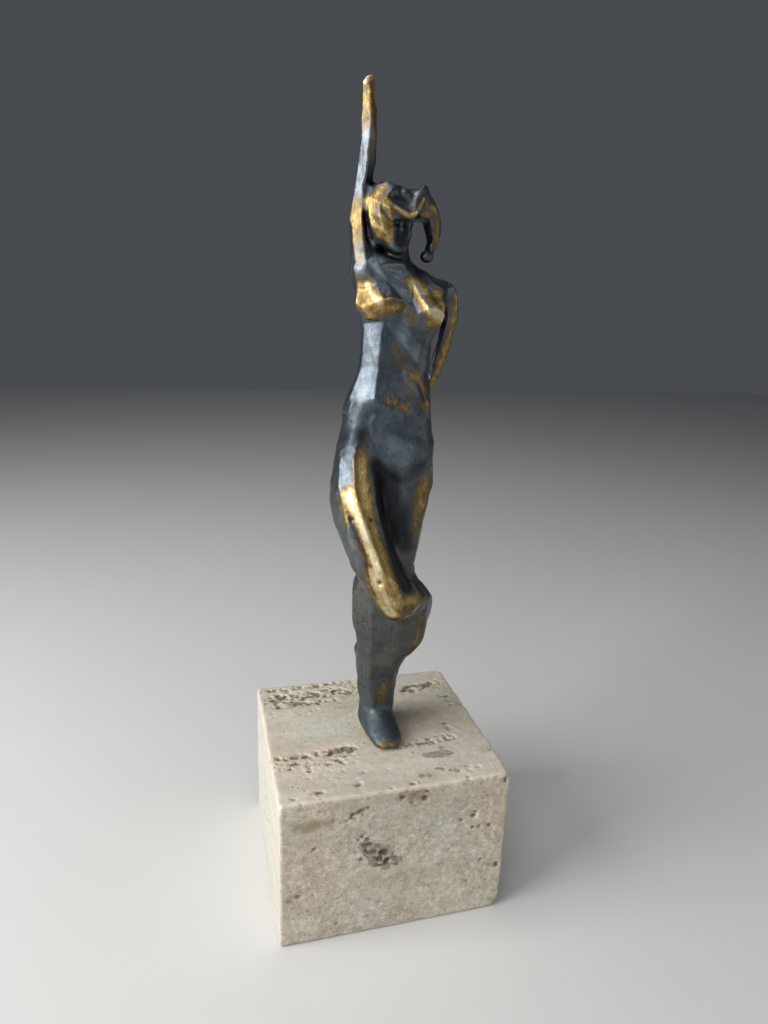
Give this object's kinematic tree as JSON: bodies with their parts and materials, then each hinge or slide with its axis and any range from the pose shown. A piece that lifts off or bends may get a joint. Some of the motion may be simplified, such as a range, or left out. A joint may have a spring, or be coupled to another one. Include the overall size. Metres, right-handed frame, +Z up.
{
  "type": "bronze statue",
  "caption": "Small bronze statue of a slender standing figure with an arm raised and a leg crossed over the other, on a square block of travertine.",
  "frame": {"origin": "centre of the block's underside", "axes": "+Z up along the figure, -Y towards the block's front, where the figure's foot points"},
  "size_m": [0.1, 0.092, 0.3428],
  "materials": {
    "bronze": "dark blue-black patina, worn to golden bronze on the ridges",
    "travertine": "honed, with open pits and bedding bands"
  },
  "bodies": {
    "root": {"figure": "bronze", "plinth": "travertine"}
  },
  "joints": []
}
